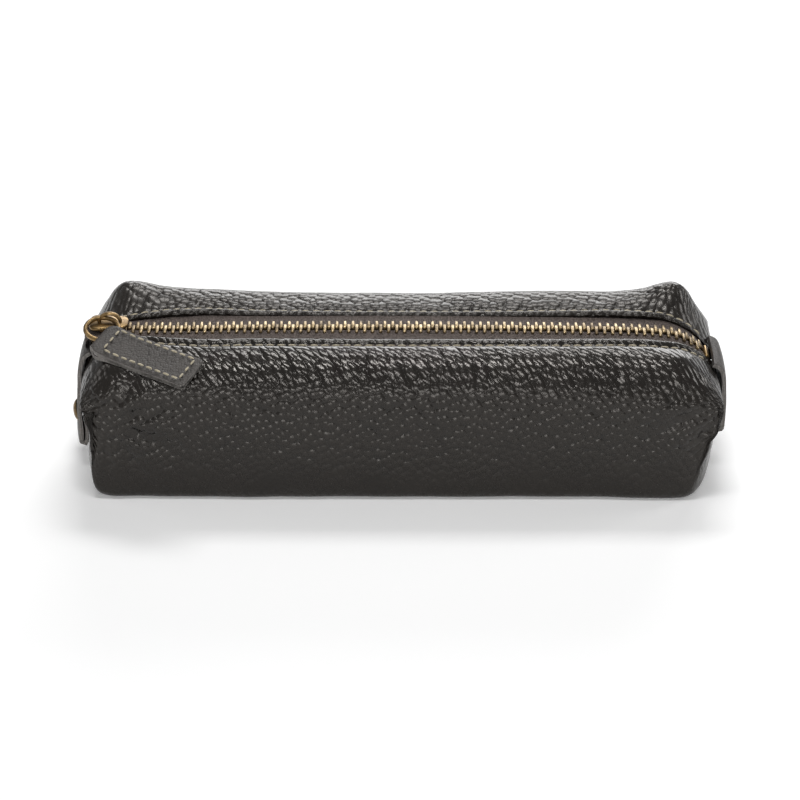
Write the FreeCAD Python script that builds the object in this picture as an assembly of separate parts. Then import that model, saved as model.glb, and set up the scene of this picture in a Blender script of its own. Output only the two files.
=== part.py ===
import FreeCAD, Part
import math
import os
from FreeCAD import Placement, Rotation, Vector

# Zipped leather pen case, millimetres.
# Origin at the centre of the base, +X along the zip, -Y the front, +Z up.

# Case
case_length = 199.0        # lobe to lobe, measured over the upper end flaps
case_depth = 50.0          # front wall to back wall
case_height = 49.0         # table to the leather beside the zip
base_inset = 6.5           # lobe to the end of the base
shoulder_drop = 4.0        # zip to where the wall and the sloping top would meet
seam_drop = 16.0           # zip to the end seam, upper flap above and lower flap below
seam_step = 0.6            # half the height over which the lobe turns under
seam_round = 1.0
lobe_round = 2.0
end_recess = 4.5           # how far the lower end lies behind the upper lobe
base_round = 5.0           # long bottom edges
end_base_round = 5.0       # bottom edge at the ends
shoulder_round = 6.0
left_bend = 10.0           # top edge of the left end
right_bend = 12.0          # the zip turns down over this at the right end
leather = 1.6
lining = 0.5
lining_offset = 0.8        # leather to lining, room for the zip tape
lining_rise = 2.0          # wall lining above the start of the shoulder
seam_gap = 0.3             # between neighbouring leather pieces

# Zip
mouth_half = 8.5           # zip centre to the leather edge
hinge_inset = 5.7          # wall to the line a lip bends about
tape = 0.6
tape_inner = 1.7           # zip centre to the tape's beaded edge
tape_outer = 13.5
tape_gap = 0.1
tape_tuck = 3.0            # tape under the lining at the ends
tape_rise = 3.0            # end seam to the tape's lower edge
clamp_play = 0.1           # metal round the tape
facing_inner = 10.5
facing_outer = 17.0
pitch = 2.5
tooth_width = 1.0
tooth_height = 2.6
tooth_root = 3.1
tooth_head = 0.9           # how far a tooth reaches past the centre line
tooth_chamfer = 0.5
chain_inset = 8.5          # left lobe to the first tooth
lip_start = 31.5           # first tooth to the lips, ending between two teeth
lip_margin = 23.8          # right lobe to the lips
right_slot_drop = 13.0
left_slot_drop = 5.2
zip_overhang = -1.0         # tape past the left lobe
stop_offset = 2.9          # first tooth to the top stops
top_stop_width = 1.75
top_stop_round = 0.4
chain_turn = 66.0          # how far the chain follows the right-hand bend, degrees
bottom_stop_width = 2.0
bottom_stop_round = 0.5
bottom_stop_gap = 0.4      # last tooth to the stop

# Slider, measured from its mouth at the left
slider_reach = -1.5         # slider's mouth past the left lobe
slider_length = 12.0
slider_mouth_half = 5.2
slider_tail_half = 4.3
slider_plate = 1.2
slider_wall = 0.9
slider_mouth_round = 1.8
slider_waist_round = 3.0
slider_tail_round = 1.2
slider_edge_round = 0.45
flange_start = 2.0         # slider mouth to the flanges
flange_lip = 1.6
chain_play = 0.2           # slider plates to teeth
tape_play = 0.4            # slider flanges to tape
wedge_half = 1.4
wedge_length = 4.6
wedge_point = 0.3
wedge_mouth_round = 0.5
wedge_side_round = 0.8
wedge_point_round = 0.2
crown_start = 2.5
crown_length = 7.0
crown_width = 1.6
crown_metal = 1.0
crown_room = 3.95         # daylight under the crown
crown_taper = 0.4
crown_round = 1.9

# Pull
ring_radius = 5.0          # centre line
ring_wire = 1.6
ring_seat = 6.6            # slider mouth to the wire, under the crown
ring_turn = 39.0           # where the crown holds the ring, degrees from +X
ring_play = 0.35           # wire to the crown and to the leather round it
pull_yaw = -24.0
pull_pitch = -5.0
pull_length = 32.5
pull_width = 12.8
pull_neck = 4.4
pull_neck_length = 3.8
pull_leather = 1.1
pull_corner = 1.6
pull_edge_round = 0.3
pull_neck_round = 0.6
pull_shoulder = 0.8        # how far the strip widens over after its neck
pull_close_round = 2.0     # where the two layers come together
pull_bulge_round = 0.5
eye_round = 0.4
bend_share = 0.9           # part of a fold that is round
close_share = 2.4          # ring to where the layers meet, in fold radii

# End tabs and rivets
tab_width = 20.0
tab_length = 25.0
tab_leather = 1.4
tab_fold_gap = 0.3
tab_corner = 1.2
tab_seam_gap = 0.2         # end seam to the tab's short inner layer
tab_edge_round = 0.3
left_tab_drop = 7.0        # zip to the tab's top edge
right_tab_drop = 9.0
left_tab_lean = 9.0
right_tab_lean = 1.0
rivet_rise = 6.5           # fold to rivet
rivet_head = 3.8
rivet_post = 1.5
rivet_dome = 1.2
rivet_washer = 3.2
rivet_washer_thick = 0.7
rivet_play = 0.05

half_length = case_length / 2
half_depth = case_depth / 2
shoulder_height = case_height - shoulder_drop
seam_height = case_height - seam_drop
hinge_half = half_depth - hinge_inset
chain_left = chain_inset - half_length
lip_left = chain_left + (math.floor(lip_start / pitch) + 0.75) * pitch
lip_teeth = math.floor((case_length - chain_inset - lip_margin) / pitch)
lip_right = chain_left + (lip_teeth + 0.25) * pitch
right_slot_floor = case_height - right_slot_drop
left_slot_floor = case_height - left_slot_drop
slider_nose = -half_length - slider_reach
left_tab_top = case_height - left_tab_drop
right_tab_top = case_height - right_tab_drop
far = 2 * case_length
tape_inset = leather + tape_gap
tape_level = case_height - tape_inset - tape / 2
lining_inset = leather + lining_offset
top_slope = math.atan2(case_height - shoulder_height, half_depth - mouth_half)
panel_edge = hinge_half + leather / 2 + seam_gap
flap_edge = panel_edge - seam_gap
across = Vector(0, 1, 0)


def in_section(point):
    return Vector(0, point.x, point.y)


def in_side(point):
    return Vector(point.x, 0, point.y)


def in_plan(point):
    return Vector(point.x, point.y, 0)


def rounded_wire(corners, place):
    # Closed outline through (a, b, radius) corners, each rounded by a tangent arc.
    turns = []
    for index, (a, b, radius) in enumerate(corners):
        here = Vector(a, b, 0)
        before = Vector(corners[index - 1][0], corners[index - 1][1], 0)
        after_corner = corners[(index + 1) % len(corners)]
        after = Vector(after_corner[0], after_corner[1], 0)
        to_before = (before - here).normalize()
        to_after = (after - here).normalize()
        half = to_before.getAngle(to_after) / 2
        reach = radius / math.tan(half)
        inward = (to_before + to_after).normalize()
        middle = here + inward * (radius / math.sin(half) - radius)
        turns.append((here + to_before * reach, middle, here + to_after * reach, radius))
    edges = []
    for index, (start, middle, end, radius) in enumerate(turns):
        last_end = turns[index - 1][2]
        if last_end.distanceToPoint(start) > 1e-6:
            edges.append(Part.LineSegment(place(last_end), place(start)).toShape())
        if radius > 0:
            edges.append(Part.Arc(place(start), place(middle), place(end)).toShape())
    return Part.Wire(edges)


def inset_corners(corners, inset):
    # The same outline moved inwards, for an anticlockwise list of corners.
    moved = []
    for index, (a, b, radius) in enumerate(corners):
        here = Vector(a, b, 0)
        before = corners[index - 1]
        after = corners[(index + 1) % len(corners)]
        along_in = (here - Vector(before[0], before[1], 0)).normalize()
        along_out = (Vector(after[0], after[1], 0) - here).normalize()
        turn = along_in.x * along_out.y - along_in.y * along_out.x
        normal_in = Vector(-along_in.y, along_in.x, 0)
        normal_out = Vector(-along_out.y, along_out.x, 0)
        step = (normal_in + normal_out) * (inset / (1 + normal_in.dot(normal_out)))
        new_radius = radius - inset if turn > 0 else radius + inset
        moved.append((here.x + step.x, here.y + step.y, max(new_radius, 0) if radius > 0 else 0))
    return moved


def prism(corners, place, direction):
    return Part.Face(rounded_wire(corners, place)).extrude(direction)


def slab(x0, x1, y0, y1, z0, z1):
    return Part.makeBox(x1 - x0, y1 - y0, z1 - z0, Vector(x0, y0, z0))


def fused(shapes):
    return shapes[0].multiFuse(shapes[1:]).removeSplitter()


def mirrored(shape):
    return shape.mirror(Vector(0, 0, 0), across)


section = [
    (-half_depth, 0, base_round),
    (half_depth, 0, base_round),
    (half_depth, shoulder_height, shoulder_round),
    (mouth_half, case_height, 0),
    (-mouth_half, case_height, 0),
    (-half_depth, shoulder_height, shoulder_round),
]
base_half = half_length - base_inset
recess_half = half_length - end_recess
side = [
    (-base_half, 0, end_base_round),
    (base_half, 0, end_base_round),
    (recess_half, seam_height - seam_step, seam_round),
    (half_length, seam_height + seam_step, lobe_round),
    (half_length, case_height, right_bend),
    (-half_length, case_height, left_bend),
    (-half_length, seam_height + seam_step, lobe_round),
    (-recess_half, seam_height - seam_step, seam_round),
]


def envelope(inset):
    # The case's outer form, or one of the surfaces inside it.
    lengthways = prism(inset_corners(section, inset), in_section, Vector(2 * far, 0, 0))
    lengthways.translate(Vector(-far, 0, 0))
    crossways = prism(inset_corners(side, inset), in_side, Vector(0, 2 * far, 0))
    crossways.translate(Vector(0, -far, 0))
    return lengthways.common(crossways)


def layer(outer, thickness):
    return envelope(outer).cut(envelope(outer + thickness))


skin = layer(0, leather)
inner_skin = layer(lining_inset, lining)
tape_skin = layer(tape_inset, tape)
parts = {}

# Outer leather: one wrap of front wall, base and back wall, with two flaps at each end
base_zone = slab(-far, far, -far, far, -1, base_round)
front_zone = slab(-far, far, -far, -panel_edge, -1, far)
parts["body_panel"] = skin.common(fused([base_zone, front_zone, mirrored(front_zone)]))

left_slot = slab(-far, lip_left, -mouth_half, mouth_half, left_slot_floor, far)
right_slot = slab(lip_right, far, -mouth_half, mouth_half, right_slot_floor, far)
flap_floor = base_round + seam_gap


def end_zone(x0, x1, z0, z1):
    return slab(x0, x1, -flap_edge, flap_edge, z0, z1)


lower_top = seam_height - seam_gap / 2
upper_floor = seam_height + seam_gap / 2
left_face = lip_left - seam_gap
right_face = lip_right + seam_gap
lower_inner = base_half - end_base_round - leather
parts["left_lower_end"] = skin.common(end_zone(-far, -lower_inner, flap_floor, lower_top))
parts["right_lower_end"] = skin.common(end_zone(lower_inner, far, flap_floor, lower_top))
parts["left_upper_end"] = skin.common(end_zone(-far, left_face, upper_floor, far)).cut(left_slot)
parts["right_upper_end"] = skin.common(end_zone(right_face, far, upper_floor, far)).cut(right_slot)

# Lining of the walls, base and ends
lining_top = shoulder_height - shoulder_round + lining_rise
lining_front = slab(-far, far, -far, -panel_edge, -1, lining_top)
parts["body_lining"] = inner_skin.common(fused([base_zone, lining_front, mirrored(lining_front)]))
lining_slot_half = tape_outer - tape_tuck
left_lining_slot = slab(-far, lip_left, -lining_slot_half, lining_slot_half, right_slot_floor, far)
right_lining_slot = slab(lip_right, far, -lining_slot_half, lining_slot_half, right_slot_floor, far)
parts["left_lining"] = inner_skin.common(end_zone(-far, left_face, flap_floor, far)).cut(left_lining_slot)
parts["right_lining"] = inner_skin.common(end_zone(right_face, far, flap_floor, far)).cut(right_lining_slot)

# Lips: leather, facing and tape that lift together about the line at hinge_half
hinge_fall = (hinge_half - mouth_half) * math.tan(top_slope)
hinge_level = case_height - hinge_fall - leather / 2 / math.cos(top_slope)
lip_zone = slab(lip_left, lip_right, -hinge_half, -mouth_half, case_height / 2, far)
lip_length = lip_right - lip_left
lip_roll = Part.makeCylinder(
    leather / 2, lip_length, Vector(lip_left, -hinge_half, hinge_level), Vector(1, 0, 0)
)
parts["front_lip"] = fused([skin.common(lip_zone), lip_roll])
facing_zone = slab(lip_left, lip_right, -facing_outer, -facing_inner, case_height / 2, far)
parts["front_facing"] = inner_skin.common(facing_zone)
lip_tape_zone = slab(lip_left, lip_right, -tape_outer, -tape_inner, case_height / 2, far)
parts["front_tape"] = tape_skin.common(lip_tape_zone)
for piece in ("lip", "facing", "tape"):
    parts["back_" + piece] = mirrored(parts["front_" + piece])

# Fixed tape: the left end runs out straight under the slider, the right end turns down inside the flap
tape_floor = seam_height + tape_rise
left_tape_turn = left_bend - half_length
left_tape_zone = slab(left_tape_turn, left_face, -tape_outer, -tape_inner, tape_floor, far)
tape_tongue = slab(
    -half_length - zip_overhang,
    left_tape_turn,
    seam_gap - mouth_half,
    -tape_inner,
    tape_level - tape / 2,
    tape_level + tape / 2,
)
left_tape_half = fused([tape_skin.common(left_tape_zone), tape_tongue])
parts["left_tape"] = Part.makeCompound([left_tape_half, mirrored(left_tape_half)])
right_tape_zone = slab(right_face, far, -tape_outer, -tape_inner, tape_floor, far)
right_tape_half = tape_skin.common(right_tape_zone)
parts["right_tape"] = Part.makeCompound([right_tape_half, mirrored(right_tape_half)])

# Chain: one clamp-shaped tooth, copied along the zip at its pitch, the two rows half a pitch apart
slot_half = tape / 2 + clamp_play
slot_end = tape_inner - clamp_play
tooth_half = tooth_height / 2
tooth_corners = [
    (-tooth_root, slot_half, 0),
    (-slot_end, slot_half, 0),
    (-slot_end, -slot_half, 0),
    (-tooth_root, -slot_half, 0),
    (-tooth_root, -tooth_half, 0),
    (tooth_head - tooth_chamfer, -tooth_half, 0),
    (tooth_head, -tooth_half / 2, 0),
    (tooth_head, tooth_half / 2, 0),
    (tooth_head - tooth_chamfer, tooth_half, 0),
    (-tooth_root, tooth_half, 0),
]


def clamp(corners, width):
    solid = prism(corners, in_section, Vector(width, 0, 0))
    solid.translate(Vector(-width / 2, 0, 0))
    return solid


bend_start = half_length - right_bend
bend_level = case_height - right_bend
bend_radius = tape_level - bend_level


def on_chain(shape, station):
    # Moves a shape from the origin to a place along the zip, round the right-hand bend if it is past it.
    if station <= bend_start:
        return shape.translated(Vector(station, 0, tape_level))
    turn = (station - bend_start) / bend_radius
    spot = Vector(
        bend_start + bend_radius * math.sin(turn), 0, bend_level + bend_radius * math.cos(turn)
    )
    moved = shape.copy()
    moved.Placement = Placement(spot, Rotation(across, math.degrees(turn))).multiply(shape.Placement)
    return moved


front_tooth = clamp(tooth_corners, tooth_width)
back_tooth = mirrored(front_tooth)
chain_end = bend_start + bend_radius * math.radians(chain_turn)
teeth = {"front_teeth": [], "back_teeth": [], "left_teeth": [], "right_teeth": []}
tooth_count = int((chain_end - chain_left) / pitch)
for row, tooth in (("front", front_tooth), ("back", back_tooth)):
    lag = 0 if row == "front" else pitch / 2
    for number in range(tooth_count):
        station = chain_left + lag + number * pitch
        if station < lip_left:
            group = "left_teeth"
        elif station < lip_right:
            group = row + "_teeth"
        else:
            group = "right_teeth"
        teeth[group].append(on_chain(tooth, station))
for group, solids in teeth.items():
    parts[group] = Part.makeCompound(solids)

stop_corners = [
    (-tooth_root, slot_half, 0),
    (-slot_end, slot_half, 0),
    (-slot_end, -slot_half, 0),
    (-tooth_root, -slot_half, 0),
    (-tooth_root, -tooth_half, top_stop_round),
    (-wedge_half - clamp_play, -tooth_half, top_stop_round),
    (-wedge_half - clamp_play, tooth_half, top_stop_round),
    (-tooth_root, tooth_half, top_stop_round),
]
top_stop = on_chain(clamp(stop_corners, top_stop_width), chain_left - stop_offset)
parts["top_stops"] = Part.makeCompound([top_stop, mirrored(top_stop)])
cross_corners = [
    (-tooth_root, -tooth_half, bottom_stop_round),
    (tooth_root, -tooth_half, bottom_stop_round),
    (tooth_root, -slot_half, 0),
    (slot_end, -slot_half, 0),
    (slot_end, slot_half, 0),
    (tooth_root, slot_half, 0),
    (tooth_root, tooth_half, bottom_stop_round),
    (-tooth_root, tooth_half, bottom_stop_round),
    (-tooth_root, slot_half, 0),
    (-slot_end, slot_half, 0),
    (-slot_end, -slot_half, 0),
    (-tooth_root, -slot_half, 0),
]
last_tooth = chain_left + pitch * (tooth_count - 0.5)
parts["bottom_stop"] = on_chain(
    clamp(cross_corners, bottom_stop_width),
    last_tooth + tooth_width / 2 + bottom_stop_width / 2 + bottom_stop_gap,
)

# Slider: two plates on a wedge, with flanges that close round the tape
top_plate_level = tape_level + tooth_half + chain_play
slider_top = top_plate_level + slider_plate
low_plate_level = tape_level - tooth_half - chain_play - slider_plate
slider_tail = slider_nose + slider_length
slider_waist = slider_nose + slider_length / 2
slider_outline = [
    (slider_nose, -slider_mouth_half, slider_mouth_round),
    (slider_waist, -slider_mouth_half, slider_waist_round),
    (slider_tail, -slider_tail_half, slider_tail_round),
    (slider_tail, slider_tail_half, slider_tail_round),
    (slider_waist, slider_mouth_half, slider_waist_round),
    (slider_nose, slider_mouth_half, slider_mouth_round),
]


def slider_prism(corners, level, height):
    solid = prism(corners, in_plan, Vector(0, 0, height))
    solid.translate(Vector(0, 0, level))
    return solid


channel = inset_corners(slider_outline, slider_wall)
open_ends = slab(-far, far, -slider_tail_half + slider_wall, slider_tail_half - slider_wall, 0, far)
wedge_start = slider_nose + slider_wall
wedge_outline = [
    (wedge_start, -wedge_half, wedge_mouth_round),
    (wedge_start + wedge_length / 3, -wedge_half, wedge_side_round),
    (wedge_start + wedge_length, -wedge_point, wedge_point_round),
    (wedge_start + wedge_length, wedge_point, wedge_point_round),
    (wedge_start + wedge_length / 3, wedge_half, wedge_side_round),
    (wedge_start, wedge_half, wedge_mouth_round),
]
flange_top = tape_level + tape / 2 + tape_play
flange_low = tape_level - tape / 2 - tape_play


def flange(level, height):
    rim = slider_prism(slider_outline, level, height).cut(slider_prism(channel, level, height))
    mouth_open = slider_mouth_half - flange_lip
    mouth = slab(-far, slider_nose + flange_start, -mouth_open, mouth_open, 0, far)
    return rim.cut(open_ends).cut(mouth)


top_plate = slider_prism(slider_outline, top_plate_level, slider_plate)
plate_middle = slider_top - slider_plate / 2
upper_edges = [edge for edge in top_plate.Edges if edge.BoundBox.ZMin > plate_middle]
top_plate = top_plate.makeFillet(slider_edge_round, upper_edges)
low_plate = slider_prism(slider_outline, low_plate_level, slider_plate)
wedge = slider_prism(wedge_outline, low_plate_level, slider_top - low_plate_level - slider_plate / 2)
parts["slider_body"] = fused(
    [
        top_plate,
        low_plate,
        wedge,
        flange(flange_top, top_plate_level - flange_top),
        flange(low_plate_level + slider_plate, flange_low - low_plate_level - slider_plate),
    ]
)
crown_low = slider_nose + crown_start
crown_high = crown_low + crown_length
crown_top = slider_top + crown_room + crown_metal
crown_outer = [
    (crown_low, slider_top, 0),
    (crown_high, slider_top, 0),
    (crown_high - crown_taper, crown_top, crown_round),
    (crown_low + crown_taper, crown_top, crown_round),
]
crown_inner = [
    (crown_low + crown_metal, slider_top, 0),
    (crown_high - crown_metal, slider_top, 0),
    (crown_high - crown_metal - crown_taper, slider_top + crown_room, crown_round - crown_metal),
    (crown_low + crown_metal + crown_taper, slider_top + crown_room, crown_round - crown_metal),
]
crown = prism(crown_outer, in_side, Vector(0, crown_width, 0))
crown = crown.cut(prism(crown_inner, in_side, Vector(0, crown_width, 0)))
crown.translate(Vector(0, -crown_width / 2, 0))
parts["slider_crown"] = crown

# Ring: a plain wire ring that lies out from the crown, lifted against it by the pull
seat = Vector(slider_nose + ring_seat, 0, slider_top + crown_room - ring_wire / 2 - ring_play)
ring_out = Vector(-math.cos(math.radians(ring_turn)), -math.sin(math.radians(ring_turn)), 0)
ring_axis = Vector(ring_out.y, -ring_out.x, 0)
ring_centre = seat + ring_out * ring_radius
parts["pull_ring"] = Part.makeTorus(ring_radius, ring_wire / 2, ring_centre, Vector(0, 0, 1))

# Pull: a strip folded round the ring at its neck, the two layers lying together beyond it
pull_along = Vector(math.cos(math.radians(pull_yaw)), math.sin(math.radians(pull_yaw)), 0)
pull_across = Vector(pull_along.y, -pull_along.x, 0)
hold = ring_centre + pull_along * ring_radius
neck_sag = ring_radius - math.sqrt(ring_radius ** 2 - (pull_neck / 2) ** 2)
eye = ring_wire / 2 + 1.5 * ring_play + neck_sag / 2
fold = eye + pull_leather
close = fold * close_share
strip_profile = [
    (-fold, -fold, fold * bend_share),
    (0, -fold, pull_bulge_round),
    (close, -pull_leather, pull_close_round),
    (pull_length - fold, -pull_leather, pull_edge_round),
    (pull_length - fold, pull_leather, pull_edge_round),
    (close, pull_leather, pull_close_round),
    (0, fold, pull_bulge_round),
    (-fold, fold, fold * bend_share),
]
eye_profile = [
    (-eye, -eye, eye * bend_share),
    (0, -eye, eye_round),
    (close, 0, 0),
    (0, eye, eye_round),
    (-eye, eye, eye * bend_share),
]
strip_start = pull_neck_length + pull_shoulder
strip_plan = [
    (-2 * fold, -pull_neck / 2, 0),
    (pull_neck_length, -pull_neck / 2, pull_neck_round),
    (strip_start, -pull_width / 2, pull_corner),
    (pull_length - fold, -pull_width / 2, pull_corner),
    (pull_length - fold, pull_width / 2, pull_corner),
    (strip_start, pull_width / 2, pull_corner),
    (pull_neck_length, pull_neck / 2, pull_neck_round),
    (-2 * fold, pull_neck / 2, 0),
]
strip = prism(strip_profile, in_side, Vector(0, 2 * pull_width, 0))
strip = strip.cut(prism(eye_profile, in_side, Vector(0, 2 * pull_width, 0)))
strip.translate(Vector(0, -pull_width, 0))
strip_outline = prism(strip_plan, in_plan, Vector(0, 0, 4 * fold))
strip_outline.translate(Vector(0, 0, -2 * fold))
strip = strip.common(strip_outline)
strip.translate(Vector(-neck_sag / 2, 0, 0))
turn_to_pull = Rotation(Vector(0, 0, 1), pull_yaw).multiply(Rotation(across, -pull_pitch))
strip.Placement = Placement(hold, turn_to_pull).multiply(strip.Placement)
parts["pull_strip"] = strip

# End tabs: a strip folded at its lower end, hung at its top edge, with a rivet through both layers
tab_fold = tab_leather + tab_fold_gap / 2
inner_length = seam_height - tab_seam_gap - (left_tab_top - tab_length)


def tab_pieces():
    # Built hanging from the origin, outwards along +X.
    outer_face = 2 * tab_leather + tab_fold_gap
    outline = prism(
        [
            (0, -tab_length, tab_fold * bend_share),
            (outer_face, -tab_length, tab_fold * bend_share),
            (outer_face, 0, tab_edge_round),
            (tab_leather + tab_fold_gap, 0, tab_edge_round),
            (tab_leather + tab_fold_gap, inner_length - tab_length, 0),
            (0, inner_length - tab_length, tab_edge_round),
        ],
        in_side,
        Vector(0, tab_width, 0),
    )
    crease = slab(
        tab_leather, tab_leather + tab_fold_gap, 0, tab_width, tab_fold - tab_length, 1
    )
    strap = outline.cut(crease)
    strap.translate(Vector(0, -tab_width / 2, 0))
    plan = [
        (-tab_width / 2, -tab_length, tab_corner),
        (tab_width / 2, -tab_length, tab_corner),
        (tab_width / 2, 0, tab_edge_round),
        (-tab_width / 2, 0, tab_edge_round),
    ]
    strap = strap.common(prism(plan, in_section, Vector(outer_face, 0, 0)))
    middle = rivet_rise - tab_length
    hole = Part.makeCylinder(
        rivet_post + rivet_play, outer_face, Vector(0, 0, middle), Vector(1, 0, 0)
    )
    strap = strap.cut(hole)
    dome_radius = (rivet_head ** 2 + rivet_dome ** 2) / (2 * rivet_dome)
    dome = Part.makeSphere(dome_radius, Vector(outer_face + rivet_dome - dome_radius, 0, middle))
    dome = dome.common(slab(outer_face, outer_face + 2 * rivet_dome, -far, far, -far, far))
    post = Part.makeCylinder(
        rivet_post, outer_face + rivet_washer_thick, Vector(-rivet_washer_thick, 0, middle), Vector(1, 0, 0)
    )
    washer = Part.makeCylinder(
        rivet_washer, rivet_washer_thick, Vector(-rivet_washer_thick, 0, middle), Vector(1, 0, 0)
    )
    bore = Part.makeCylinder(
        rivet_post + rivet_play, rivet_washer_thick, Vector(-rivet_washer_thick, 0, middle), Vector(1, 0, 0)
    )
    return {"tab": strap, "rivet": fused([dome, post]), "rivet_washer": washer.cut(bore)}


tab_stand = half_length + seam_gap - tab_leather - tab_fold_gap
for end, top, lean in (("right", right_tab_top, right_tab_lean), ("left", left_tab_top, left_tab_lean)):
    for piece, shape in tab_pieces().items():
        pivot = Vector(tab_leather + tab_fold_gap, 0, 0)
        shape.rotate(pivot, across, -lean)
        shape.translate(Vector(tab_stand, 0, top))
        if end == "left":
            shape = shape.mirror(Vector(0, 0, 0), Vector(1, 0, 0))
        parts[end + "_" + piece] = shape

os.makedirs("parts", exist_ok=True)
for name, shape in parts.items():
    shape.exportStep("parts/" + name + ".step")
    box = shape.BoundBox
    print(name, len(shape.Solids), "solids", "valid", shape.isValid(), round(shape.Volume, 2), box)
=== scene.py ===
import math

import bmesh
import bpy
from mathutils import Matrix, Vector, noise
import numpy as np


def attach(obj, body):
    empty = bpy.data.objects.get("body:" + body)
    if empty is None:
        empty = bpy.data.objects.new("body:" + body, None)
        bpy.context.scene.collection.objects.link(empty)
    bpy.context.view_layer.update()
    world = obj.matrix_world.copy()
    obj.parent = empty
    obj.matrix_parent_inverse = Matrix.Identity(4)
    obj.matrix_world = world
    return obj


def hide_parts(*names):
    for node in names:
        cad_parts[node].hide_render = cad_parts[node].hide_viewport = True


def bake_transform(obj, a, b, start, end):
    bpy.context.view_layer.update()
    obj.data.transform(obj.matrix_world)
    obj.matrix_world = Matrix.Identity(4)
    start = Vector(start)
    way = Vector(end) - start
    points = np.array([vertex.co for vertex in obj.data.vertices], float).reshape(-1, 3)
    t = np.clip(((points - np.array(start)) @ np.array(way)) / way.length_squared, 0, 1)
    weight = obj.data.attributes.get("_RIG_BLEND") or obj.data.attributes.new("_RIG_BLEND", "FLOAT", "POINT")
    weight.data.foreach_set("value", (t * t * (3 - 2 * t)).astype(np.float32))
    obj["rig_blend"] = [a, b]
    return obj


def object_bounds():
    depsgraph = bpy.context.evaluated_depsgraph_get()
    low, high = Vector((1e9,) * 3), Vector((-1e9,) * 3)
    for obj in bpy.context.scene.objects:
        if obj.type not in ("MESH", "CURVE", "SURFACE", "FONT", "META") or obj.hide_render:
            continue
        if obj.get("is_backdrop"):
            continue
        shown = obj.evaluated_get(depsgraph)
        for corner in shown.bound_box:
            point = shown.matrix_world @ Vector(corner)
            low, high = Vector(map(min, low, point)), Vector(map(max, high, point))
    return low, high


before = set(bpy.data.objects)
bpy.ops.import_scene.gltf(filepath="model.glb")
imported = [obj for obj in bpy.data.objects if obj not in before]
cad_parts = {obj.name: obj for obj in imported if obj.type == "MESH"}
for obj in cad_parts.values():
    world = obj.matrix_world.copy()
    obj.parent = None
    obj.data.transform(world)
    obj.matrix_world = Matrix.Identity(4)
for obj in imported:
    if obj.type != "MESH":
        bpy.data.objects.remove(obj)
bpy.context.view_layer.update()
mm = 0.001  # pieces are shaped in millimetres and become metres when they are finished
print("frame loaded", len(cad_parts), "nodes")


def mix(a, b, share):
    return a + (b - a) * share


def smooth(a, b, value):  # eases from 0 at a to 1 at b
    share = min(max((value - a) / (b - a), 0.0), 1.0)
    return share * share * (3 - 2 * share)


def withLength(fine):  # a line of points and its running length
    reach = [0.0]
    for a, b in zip(fine, fine[1:]):
        reach.append(reach[-1] + (b - a).length)
    return fine, reach


def fineLine(points, steps=30):  # a smooth line through the given points
    spots = [Vector(p) for p in points]
    spots = [2 * spots[0] - spots[1]] + spots + [2 * spots[-1] - spots[-2]]
    fine = []
    for i in range(1, len(spots) - 2):
        a, b, c, d = spots[i - 1:i + 3]
        for k in range(steps):
            t = k / steps
            bend = 2 * a - 5 * b + 4 * c - d + t * (3 * b - a - 3 * c + d)
            fine.append(b + 0.5 * t * (c - a + t * bend))
    fine.append(spots[-2])
    return withLength(fine)


def alongLine(line, want):  # place and direction at a length along a line
    fine, reach = line
    low, high = 0, len(reach) - 2
    while low < high:
        half = (low + high + 1) // 2
        low, high = (half, high) if reach[half] <= want else (low, half - 1)
    step = reach[low + 1] - reach[low]
    ahead = fine[low + 1] - fine[low]
    share = (want - reach[low]) / step if step else 0.0
    return fine[low] + ahead * share, ahead.normalized()


def through(points, count):  # evenly spaced points on a smooth line
    line = fineLine(points)
    return [alongLine(line, line[1][-1] * k / (count - 1))[0] for k in range(count)]


def level(points, x):  # value of a line of (x, value) pairs
    if x <= points[0][0]:
        return points[0][1]
    for (x0, h0), (x1, h1) in zip(points, points[1:]):
        if x <= x1:
            return mix(h0, h1, smooth(x0, x1, x))
    return points[-1][1]


def gridFrom(rows):  # a grid set onto rows of points, and its vertices by row
    bm = bmesh.new()
    long, wide = len(rows) - 1, len(rows[0]) - 1
    bmesh.ops.create_grid(bm, x_segments=long, y_segments=wide, size=1)
    verts = [[None] * (wide + 1) for _ in rows]
    for v in bm.verts:
        i = round((v.co.x + 1) / 2 * long)
        j = round((v.co.y + 1) / 2 * wide)
        v.co = rows[i][j]
        verts[i][j] = v
    return bm, verts


def addBox(bm, size, spot=(0, 0, 0)):
    verts = bmesh.ops.create_cube(bm, size=1)["verts"]
    bmesh.ops.scale(bm, vec=size, verts=verts)
    bmesh.ops.translate(bm, vec=spot, verts=verts)
    return verts


def edgesOf(verts):
    return list({e for v in verts for e in v.link_edges})


def sharpEdges(bm, angle):
    return [e for e in bm.edges if e.calc_face_angle(0) > angle]


def roundOff(bm, edges, radius, segments, clamp=False):
    return bmesh.ops.bevel(
        bm, geom=edges, offset=radius, offset_type="OFFSET", segments=segments,
        profile=0.5, affect="EDGES", material=-1, clamp_overlap=clamp)


def spinRound(bm, geom, steps):  # a full turn about the upright
    bmesh.ops.spin(
        bm, geom=geom, cent=(0, 0, 0), axis=(0, 0, 1), angle=2 * math.pi, steps=steps, use_merge=True)


def faceAway(bm, inside):  # turns the faces away from a point inside
    bm.normal_update()
    score = sum(f.normal.dot(f.calc_center_median() - inside) * f.calc_area() for f in bm.faces)
    if score < 0:
        bmesh.ops.reverse_faces(bm, faces=bm.faces)
    bm.normal_update()


def finishPiece(name, bm, *materials):
    bmesh.ops.scale(bm, vec=(mm, mm, mm), verts=bm.verts)
    for f in bm.faces:
        f.smooth = True
    mesh = bpy.data.meshes.new(name)
    bm.to_mesh(mesh)
    bm.free()
    piece = bpy.data.objects.new(name, mesh)
    for material in materials:
        mesh.materials.append(material)
    bpy.context.collection.objects.link(piece)
    return piece


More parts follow.
